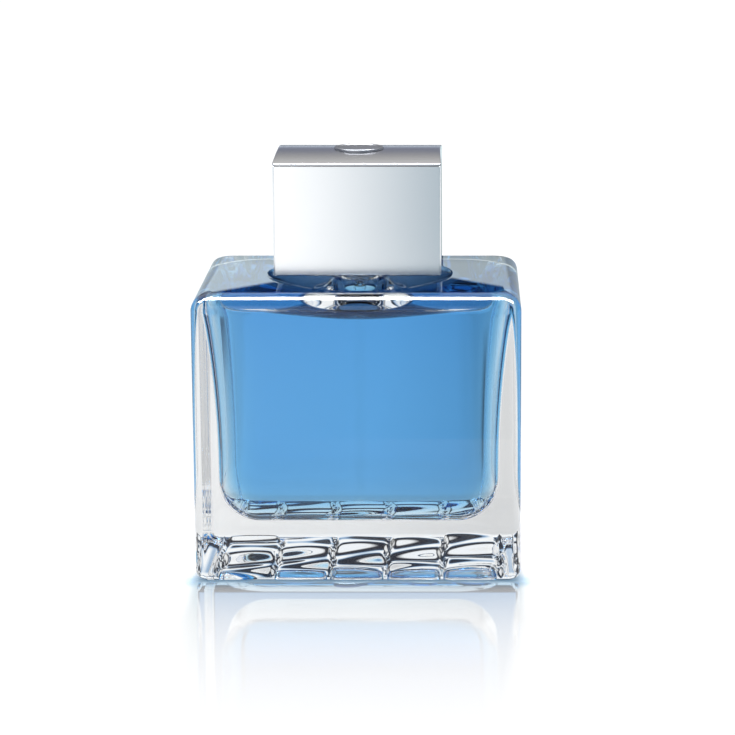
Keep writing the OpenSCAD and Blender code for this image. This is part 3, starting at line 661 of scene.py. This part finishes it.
TUBE_BORE = 0.7
tube_low, tube_high = box_mm("dip_tube")
thread = rounded([(0, tube_low[2] + 1.7, 0), (TUBE_BORE - 0.03, tube_low[2] + 1.7, 0.1),
                  (TUBE_BORE - 0.03, tube_high[2] - 0.05, 0.1), (0, tube_high[2] - 0.05, 0)])
tube_thread = make_piece("aftershave_in_the_tube", *spin(thread, 32), crease_deg=40)
fit_piece(tube_thread, "bottle", "fill", blue_aftershave)

# ------------------------------------------------------------
# Dip tube: clear fluoropolymer whose refraction is close to that of the fill,
# so it nearly vanishes in it, with a V cut at its foot so that it draws freely.
clear_tube = tinted_material("index_matched_tube", 1.004, FILL_COLOUR, FILL_DENSITY)
dress("dip_tube", clear_tube)

# ------------------------------------------------------------
# Finishes that several pieces share: a fine grain and the faint marks that
# handling leaves, as two node groups placed in each material with its own values.


def shader_group(name, inputs, outputs):
    """An empty shader node group with named inputs and outputs."""
    group = bpy.data.node_groups.new(name, "ShaderNodeTree")
    for label, kind, value in inputs:
        socket = group.interface.new_socket(label, in_out="INPUT", socket_type=kind)
        if value is not None:
            socket.default_value = value
    for label, kind in outputs:
        group.interface.new_socket(label, in_out="OUTPUT", socket_type=kind)
    return group, group.nodes.new("NodeGroupInput"), group.nodes.new("NodeGroupOutput")


grain_group, entry, leave = shader_group(
    "fine_grain",
    (("Scale", "NodeSocketFloat", 3000.0), ("Stretch", "NodeSocketVector", (1, 1, 1))),
    (("Height", "NodeSocketFloat"), ("Mask", "NodeSocketFloat")))
place = object_place(grain_group)
stretched = vector_maths(grain_group, "MULTIPLY", place, entry.outputs["Stretch"])[0]
fine = add_node(grain_group, "ShaderNodeTexNoise", {
    "Vector": stretched, "Scale": entry.outputs["Scale"], "Detail": 3.0, "Roughness": 0.6})
grain_group.links.new(fine.outputs[0], leave.inputs["Height"])
grain_group.links.new(ramp(grain_group, fine.outputs[0], 0.35, 0.65, 0.0, 1.0), leave.inputs["Mask"])

marks_group, entry, leave = shader_group(
    "handling_marks",
    (("Scale", "NodeSocketFloat", 120.0), ("Amount", "NodeSocketFloat", 0.3)),
    (("Mask", "NodeSocketFloat"),))
place = object_place(marks_group)
smear = add_node(marks_group, "ShaderNodeTexNoise", {
    "Vector": place, "Scale": entry.outputs["Scale"], "Detail": 4.0, "Roughness": 0.7, "Distortion": 0.8})
mask = ramp(marks_group, smear.outputs[0], 0.48, 0.72, 0.0, 1.0, "SMOOTHSTEP")
marks_group.links.new(maths(marks_group, "MULTIPLY", mask, entry.outputs["Amount"]), leave.inputs["Mask"])


def finish(name, colour, rough, metallic=1.0, grain=3000.0, stretch=(1, 1, 1),
           relief=0.02, marks=0.3, worn=0.85):
    """A metal or plastic with a fine grain and handling marks. Relief is the grain's depth in mm."""
    material, tree = new_material(name)
    grain_node = add_node(tree, "ShaderNodeGroup", node_tree=grain_group)
    grain_node.inputs["Scale"].default_value = grain
    grain_node.inputs["Stretch"].default_value = stretch
    marks_node = add_node(tree, "ShaderNodeGroup", node_tree=marks_group)
    marks_node.inputs["Amount"].default_value = marks
    handled = (*(worn * c for c in colour), 1)
    tint = blend_colours(tree, marks_node.outputs["Mask"], (*colour, 1), handled)
    level = maths(tree, "ADD", maths(tree, "MULTIPLY", grain_node.outputs["Mask"], 0.05), rough - 0.02)
    level = maths(tree, "ADD", level, maths(tree, "MULTIPLY", marks_node.outputs["Mask"], 0.10))
    bump = add_node(tree, "ShaderNodeBump", {
        "Strength": 0.4, "Distance": relief * MM, "Height": grain_node.outputs["Height"]})
    shader = add_node(tree, "ShaderNodeBsdfPrincipled", {
        "Base Color": tint, "Metallic": metallic, "Roughness": level, "Normal": bump.outputs[0]})
    show(tree, shader)
    return material


# ------------------------------------------------------------
# Pump, the pieces that stay: natural clear plastic housing with its tail, the
# gasket on the neck, the steel inlet ball and the cup that closes the barrel.
housing_plastic = clear_material("clear_housing_plastic", (0.97, 0.99, 1.0), 1.10)[0]
dress("pump_housing", housing_plastic)
gasket_rubber = finish("pale_gasket_rubber", (0.62, 0.63, 0.62), 0.6, metallic=0.0, grain=1500, marks=0.1)
dress("neck_gasket", gasket_rubber)
ball_steel = finish("ball_steel", (0.66, 0.67, 0.69), 0.14, relief=0.001)
dress("inlet_ball", ball_steel)
white_plastic = finish(
    "white_pump_plastic", (0.80, 0.81, 0.82), 0.42, metallic=0.0, grain=900, relief=0.01, marks=0.1)
dress("closure_cup", white_plastic)

# ------------------------------------------------------------
# Pump, the pieces that move: stem and piston in moulded plastic, and a return
# spring of stainless wire whose end turns lie flat.
dress("pump_stem", white_plastic)
piston_plastic = finish("grey_piston_plastic", (0.28, 0.32, 0.37), 0.4, metallic=0.0, grain=900, marks=0.1)
dress("piston_seal", piston_plastic)


def size_tree(name, sizes):
    """An empty geometry node tree that takes a geometry and named sizes, and gives a geometry."""
    grown = bpy.data.node_groups.new(name, "GeometryNodeTree")
    grown.interface.new_socket("Geometry", in_out="INPUT", socket_type="NodeSocketGeometry")
    for label in sizes:
        kind = "NodeSocketInt" if isinstance(sizes[label], int) else "NodeSocketFloat"
        grown.interface.new_socket(label, in_out="INPUT", socket_type=kind)
    grown.interface.new_socket("Geometry", in_out="OUTPUT", socket_type="NodeSocketGeometry")
    return grown, grown.nodes.new("NodeGroupInput").outputs, grown.nodes.new("NodeGroupOutput").inputs


def leave_tree(grown, geometry, material, exit_sockets):
    """Ends a geometry node tree: smooth shading, instances made real, the finish set."""
    smooth = add_node(grown, "GeometryNodeSetShadeSmooth", {"Geometry": geometry})
    real = add_node(grown, "GeometryNodeRealizeInstances", {"Geometry": smooth.outputs[0]})
    dressed = add_node(grown, "GeometryNodeSetMaterial", {"Geometry": real.outputs[0], "Material": material})
    grown.links.new(dressed.outputs[0], exit_sockets["Geometry"])


def settle(piece, modifier, crease_deg=40):
    """Keeps what a modifier makes of a piece as its plain mesh."""
    evaluated = piece.evaluated_get(bpy.context.evaluated_depsgraph_get())
    mesh = bpy.data.meshes.new_from_object(evaluated)
    piece.modifiers.remove(modifier)
    piece.data = mesh
    mesh.set_sharp_from_angle(angle=math.radians(crease_deg))


def grow(piece, grown, sizes):
    """Runs a geometry node tree on a piece, with its sizes in millimetres."""
    modifier = piece.modifiers.new(grown.name, "NODES")
    modifier.node_group = grown
    for item in grown.interface.items_tree:
        if item.in_out == "INPUT" and item.name in sizes:
            value = sizes[item.name]
            modifier[item.identifier] = value if isinstance(value, int) else float(value) * MM
    settle(piece, modifier)
    return piece


spring_low, spring_high = box_mm("return_spring")
WIRE_R = 0.18
SPRING_SIZES = {
    "Turns": 5, "Steps": 40, "Mean Radius": 2.3, "Wire Radius": WIRE_R,
    "Foot": spring_low[2] + WIRE_R, "Rise": spring_high[2] - spring_low[2] - 2 * WIRE_R}
spring_steel = finish("spring_wire", (0.70, 0.71, 0.73), 0.2, grain=4000, relief=0.001)
spring_tree, given, leave = size_tree("wire_spring", SPRING_SIZES)
spiral = add_node(spring_tree, "GeometryNodeCurveSpiral", {
    "Resolution": given["Steps"], "Rotations": given["Turns"], "Start Radius": given["Mean Radius"],
    "End Radius": given["Mean Radius"], "Height": 0.0})
progress = add_node(spring_tree, "GeometryNodeSplineParameter").outputs["Factor"]
climb = ramp(spring_tree, progress, 0.14, 0.86, 0.0, 1.0)
height = maths(spring_tree, "MULTIPLY_ADD", climb, given["Rise"], given["Foot"])
lift = add_node(spring_tree, "ShaderNodeCombineXYZ", {"Z": height}).outputs[0]
coil = add_node(spring_tree, "GeometryNodeSetPosition", {"Geometry": spiral.outputs[0], "Offset": lift})
section = add_node(spring_tree, "GeometryNodeCurvePrimitiveCircle", {
    "Resolution": 10, "Radius": given["Wire Radius"]})
wire = add_node(spring_tree, "GeometryNodeCurveToMesh", {
    "Curve": coil.outputs[0], "Profile Curve": section.outputs[0], "Fill Caps": True})
leave_tree(spring_tree, wire.outputs[0], spring_steel, leave)
spring = grow(make_piece("wire_spring", [(0, 0, 0)], []), spring_tree, SPRING_SIZES)
fit_piece(spring, "bottle", "steel", spring_steel, "return_spring")
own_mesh(spring)

# ------------------------------------------------------------
# Ferrule and collar: a pressed aluminium cup crimped under the glass bead, a
# slotted plastic sleeve snapped over it, and a bright metal band round both.
thin_aluminium = finish(
    "pressed_aluminium", (0.80, 0.81, 0.83), 0.24, grain=2500, stretch=(1, 1, 0.1), relief=0.004)
# dark plastic: the sleeve's own colour, and painted shade on the cap liner
dark_plastic = finish(
    "dark_plastic", (0.030, 0.032, 0.038), 0.38, metallic=0.0, grain=1200, relief=0.01, marks=0.15)
ferrule_low, ferrule_high = box_mm("crimp_ferrule")
WALL = 0.35
r_out, r_neck, r_cup = ferrule_high[0], NECK_R + 0.45, 4.42
step_z = ferrule_high[2] - 0.60
ferrule_outline = rounded([
    (r_neck, ferrule_low[2], 0.1), (r_out, ferrule_low[2], 0.35), (r_out, step_z + WALL - 0.05, 0.3),
    (r_out - 1.0, ferrule_high[2] - 0.25, 0.1), (r_cup + 1.1, ferrule_high[2] - 0.25, 0.1),
    (r_cup + 0.9, ferrule_high[2], 0.15), (r_cup, ferrule_high[2], 0.1), (r_cup, step_z, 0),
    (r_out - WALL, step_z, 0.1), (r_out - WALL, ferrule_low[2] + 0.55, 0.1),
    (r_neck, ferrule_low[2] + 0.55, 0.1)])
ferrule = make_piece("crimped_ferrule", *spin(ferrule_outline), crease_deg=40)
fit_piece(ferrule, "bottle", "ferrule", thin_aluminium, "crimp_ferrule")

insert_low, insert_high = box_mm("collar_insert")
ring_low, ring_high = box_mm("collar_ring")
sleeve_outline = rounded([
    (r_out + 0.02, insert_low[2], 0.1), (insert_high[0], insert_low[2], 0.15),
    (insert_high[0], insert_high[2], 0.15), (7.0, insert_high[2], 0.1), (7.0, step_z + 0.65, 0.1),
    (r_out + 0.02, step_z + 0.65, 0)])
SLOT_SIZES = {
    "Slots": 6, "Slot Width": 1.0, "Slot Depth": 3.0, "Slot Reach": 3.0,
    "Slot Radius": insert_high[0] - 0.5, "Slot Middle": insert_low[2] + 1.5 - 0.01}
slot_tree, given, leave = size_tree("sleeve_slots", SLOT_SIZES)
stations = add_node(slot_tree, "GeometryNodeMeshCircle", {
    "Vertices": given["Slots"], "Radius": given["Slot Radius"]})
size = add_node(slot_tree, "ShaderNodeCombineXYZ", {
    "X": given["Slot Reach"], "Y": given["Slot Width"], "Z": given["Slot Depth"]})
bar = add_node(slot_tree, "GeometryNodeMeshCube", {"Size": size.outputs[0]})
turn = maths(slot_tree, "DIVIDE", math.tau, given["Slots"])
turn = maths(slot_tree, "MULTIPLY", add_node(slot_tree, "GeometryNodeInputIndex").outputs[0], turn)
spread = add_node(slot_tree, "GeometryNodeInstanceOnPoints", {
    "Points": stations.outputs[0], "Instance": bar.outputs[0],
    "Rotation": add_node(slot_tree, "ShaderNodeCombineXYZ", {"Z": turn}).outputs[0]})
raised = add_node(slot_tree, "GeometryNodeTransform", {
    "Geometry": spread.outputs[0],
    "Translation": add_node(slot_tree, "ShaderNodeCombineXYZ", {"Z": given["Slot Middle"]}).outputs[0]})
bars = add_node(slot_tree, "GeometryNodeRealizeInstances", {"Geometry": raised.outputs[0]})
slotted = add_node(
    slot_tree, "GeometryNodeMeshBoolean", {0: given["Geometry"], 1: bars.outputs[0]}, operation="DIFFERENCE")
leave_tree(slot_tree, slotted.outputs[0], dark_plastic, leave)
sleeve = grow(make_piece("slotted_sleeve", *spin(sleeve_outline), crease_deg=40), slot_tree, SLOT_SIZES)
fit_piece(sleeve, "bottle", "dark_plastic", dark_plastic, "collar_insert")

collar_metal = finish(
    "collar_aluminium", (0.84, 0.86, 0.88), 0.2, grain=2500, stretch=(0.15, 0.15, 1), relief=0.004)
collar_outline = rounded([
    (ring_high[0], ring_low[2], 0.12), (ring_high[0], ring_high[2], 0.25), (7.4, ring_high[2], 0.12),
    (7.4, ring_high[2] - 0.38, 0.12), (ring_high[0] - 0.5, ring_high[2] - 0.38, 0.05),
    (ring_high[0] - 0.5, ring_low[2], 0.12)])
collar = make_piece("collar_band", *spin(collar_outline), crease_deg=40)
fit_piece(collar, "bottle", "collar", collar_metal, "collar_ring")

# ------------------------------------------------------------
# Spray head: a drawn aluminium shell with a finger dish over a moulded core,
# and a white swirl nozzle pressed into a hole in its front.
shell_low, shell_high = box_mm("actuator_shell")
nozzle_low, nozzle_high = box_mm("nozzle_insert")
HEAD_WALL, FINGER_DEPTH = 0.55, 0.5
finger_r = shell_high[0] - 0.8
finger_ball = (finger_r ** 2 + FINGER_DEPTH ** 2) / (2 * FINGER_DEPTH)
finger_top = [(r, shell_high[2] + finger_ball - FINGER_DEPTH - math.sqrt(finger_ball ** 2 - r * r))
              for r in np.linspace(0, finger_r, 12)]
inside_z = shell_high[2] - FINGER_DEPTH - 0.5
shell_outline = finger_top + rounded([
    (shell_high[0], shell_high[2], 0.5), (shell_high[0], shell_low[2], 0.12),
    (shell_high[0] - HEAD_WALL, shell_low[2], 0.12),
    (shell_high[0] - HEAD_WALL, inside_z, 0.2)], 6) + [(0, inside_z)]
head_shell = make_piece("spray_head_shell", *spin(shell_outline), crease_deg=40)


def cut_away(piece, cutter):
    """Takes the cutter's form out of a piece, and removes the cutter."""
    modifier = piece.modifiers.new("cut", "BOOLEAN")
    modifier.operation = "DIFFERENCE"
    modifier.object = cutter
    settle(piece, modifier)
    bpy.data.objects.remove(cutter)


def facing_front(points, y, z):
    """Turns a form that was spun about Z to point along -Y, with its foot at y and its axis at height z."""
    return [(px, y - pz, z + py) for px, py, pz in points]


nozzle_r = nozzle_high[0]
nozzle_z = (nozzle_low[2] + nozzle_high[2]) / 2
hole_points, hole_faces = spin([(0, 0), (nozzle_r + 0.1, 0), (nozzle_r + 0.1, 6), (0, 6)], 64)
cut_away(head_shell, make_piece("hole", facing_front(hole_points, -shell_high[0] + 2, nozzle_z), hole_faces))
head_metal = finish(
    "spray_head_aluminium", (0.84, 0.86, 0.88), 0.24, grain=2200, stretch=(0.15, 0.15, 1), relief=0.005)
fit_piece(head_shell, "spray_head", "cap_satin", head_metal, "actuator_shell")
dress("actuator_core", white_plastic)

ORIFICE_R = 0.2
nozzle_long = nozzle_high[1] - nozzle_low[1]
nozzle_outline = rounded([
    (ORIFICE_R, 1.65, 0), (0.92, 1.65, 0), (0.92, 0, 0.05), (nozzle_r, 0, 0.08), (nozzle_r, nozzle_long, 0.2),
    (ORIFICE_R + 0.7, nozzle_long, 0.1), (ORIFICE_R, nozzle_long - 0.4, 0.05)])
nozzle_points, nozzle_faces = spin(nozzle_outline, 64)
nozzle_points = facing_front(nozzle_points, nozzle_high[1], nozzle_z)
nozzle = make_piece("swirl_nozzle", nozzle_points, nozzle_faces, crease_deg=40)
fit_piece(nozzle, "spray_head", "pump_plastic", white_plastic, "nozzle_insert")

# ------------------------------------------------------------
# Cap: a square sleeve of satin anodised aluminium, a bright arched plate on
# it with a sunk blank medallion, and a moulded liner that grips the collar, made dark as painted shade.
sides_low, sides_high = box_mm("cap_shell")
crown_low, crown_high = box_mm("cap_crown")
disc_low, disc_high = box_mm("cap_medallion")
CAP_WALL, CAP_EDGE, CAP_BREAK = 1.1, 0.45, 0.25


def square_ring(half_w, half_d, radius, z, corner_steps=6, side_steps=1):
    """A rounded rectangle, counter-clockwise. Its height may be a function of x and y."""
    points = []
    for sx, sy, middle in ((-1, -1, 225), (1, -1, 315), (1, 1, 45), (-1, 1, 135)):
        corner = [math.radians(middle - 45 + 90 * k / corner_steps) for k in range(corner_steps + 1)]
        x, y = sx * (half_w - radius), sy * (half_d - radius)
        corner = [(x + radius * math.cos(a), y + radius * math.sin(a)) for a in corner]
        if points:
            points += side_points(points[-1], corner[0], side_steps)
        points += corner
    points += side_points(points[-1], points[0], side_steps)
    return [(x, y, z(x, y) if callable(z) else z) for x, y in points]


def side_points(start, end, steps):
    """The points that part a straight side into equal steps, without its ends."""
    return [(start[0] + (end[0] - start[0]) * k / steps, start[1] + (end[1] - start[1]) * k / steps)
            for k in range(1, steps)]


def skin(ring_list, closed=False):
    """The points and faces between rings of equal length; unless it closes on itself, the ends are capped."""
    count = len(ring_list[0])
    points = [point for ring in ring_list for point in ring]
    pairs = list(zip(range(len(ring_list)), range(1, len(ring_list))))
    if closed:
        pairs.append((len(ring_list) - 1, 0))
    polygons = [(a * count + k, a * count + (k + 1) % count, b * count + (k + 1) % count, b * count + k)
                for a, b in pairs for k in range(count)]
    if not closed:
        polygons.append(tuple(range(count)))
        polygons.append(tuple(reversed(range((len(ring_list) - 1) * count, len(ring_list) * count))))
    return points, polygons


side_outline = rounded([(0, sides_low[2], CAP_BREAK), (0, sides_high[2], CAP_BREAK),
                        (CAP_WALL, sides_high[2], CAP_BREAK), (CAP_WALL, sides_low[2], CAP_BREAK)])
side_rings = [square_ring(sides_high[0] - inset, sides_high[1] - inset, max(CAP_EDGE - inset, 0.12), z)
              for inset, z in side_outline]
cap_sides = make_piece("cap_sides", *skin(side_rings, closed=True), crease_deg=30)
cap_satin = finish(
    "satin_anodised_aluminium", (0.93, 0.94, 0.95), 0.22, grain=5000, relief=0.0015, marks=0.12, worn=0.97)
fit_piece(cap_sides, "cap", "cap_satin", cap_satin, "cap_shell")

half_w, half_d = crown_high[0], crown_high[1]
GROOVE, PLATE_EDGE = 0.2, 0.3
plate_z = sides_high[2] + GROOVE
rise = crown_high[2] - plate_z - PLATE_EDGE
arch_r = (half_d ** 2 + rise ** 2) / (2 * rise)


def arch_drop(y):
    return arch_r - math.sqrt(arch_r ** 2 - y * y)


def on_arch(lower):
    """A height a little below the arch at each point."""
    return lambda x, y: crown_high[2] - arch_drop(y) - lower


EDGE_ROUND = 0.12
SIDE_STEPS = 32
register = CAP_WALL + 0.14


def crown_ring(inset, radius, z):
    return square_ring(half_w - inset, half_d - inset, radius, z, side_steps=SIDE_STEPS)


crown_rings = [
    crown_ring(register, 0.2, crown_low[2]), crown_ring(register, 0.2, sides_high[2]),
    crown_ring(0.5, 0.3, sides_high[2] + 0.002), crown_ring(0.5, 0.3, plate_z),
    crown_ring(EDGE_ROUND, CAP_EDGE, plate_z), crown_ring(0, CAP_EDGE + 0.12, plate_z + EDGE_ROUND)]
for turn_deg in (0, 30, 60, 90):
    inset = EDGE_ROUND * (1 - math.cos(math.radians(turn_deg)))
    lower = EDGE_ROUND * (1 - math.sin(math.radians(turn_deg)))
    crown_rings.append(crown_ring(inset, CAP_EDGE + 0.12 - inset, on_arch(lower)))
ARCH_STEPS = 28
for step in range(1, ARCH_STEPS):
    left = 1 - step / ARCH_STEPS
    crown_rings.append(square_ring(
        (half_w - EDGE_ROUND) * left, (half_d - EDGE_ROUND) * left, CAP_EDGE * left, on_arch(0),
        side_steps=SIDE_STEPS))
END_DRAFT = 0.0135  # share of the width lost for each millimetre up, as the press tool leaves it
crown_points, crown_faces = skin(crown_rings)
crown_points = [(x * (1 - END_DRAFT * max(z - plate_z, 0)), y, z) for x, y, z in crown_points]
crown_plate = make_piece("crown_plate", crown_points, crown_faces, crease_deg=30)
seat_r = disc_high[0] + 0.05
SEAT_CUT = 3
seat_points, seat_faces = spin([
    (0, disc_low[2]), (seat_r, disc_low[2]), (seat_r, disc_low[2] + SEAT_CUT), (0, disc_low[2] + SEAT_CUT)])
cut_away(crown_plate, make_piece("seat", seat_points, seat_faces))
crown_metal = finish(
    "bright_aluminium", (0.60, 0.605, 0.63), 0.15, grain=2600, stretch=(0.05, 1, 1), relief=0.002, marks=0.15)
fit_piece(crown_plate, "cap", "cap_crown", crown_metal, "cap_crown")

RIM_WIDTH, FIELD_SUNK = 0.75, 0.12
field_z = disc_high[2] - FIELD_SUNK
disc_outline = rounded([
    (0, disc_low[2], 0), (disc_high[0], disc_low[2], 0.05), (disc_high[0], disc_high[2], 0.18),
    (disc_high[0] - RIM_WIDTH, disc_high[2], 0.1), (disc_high[0] - RIM_WIDTH - 0.1, field_z, 0.05),
    (2.2, field_z, 0), (1.9, field_z - 0.05, 0), (1.6, field_z, 0), (0, field_z + 0.02, 0)])
medallion = make_piece("blank_medallion", *spin(disc_outline), crease_deg=40)
medallion_metal = finish("medallion_aluminium", (0.30, 0.31, 0.34), 0.36, grain=3500, relief=0.002)
fit_piece(medallion, "cap", "cap_medallion", medallion_metal, "cap_medallion")
# the liner is made dark as painted shade under the cap
dress("cap_liner", dark_plastic)
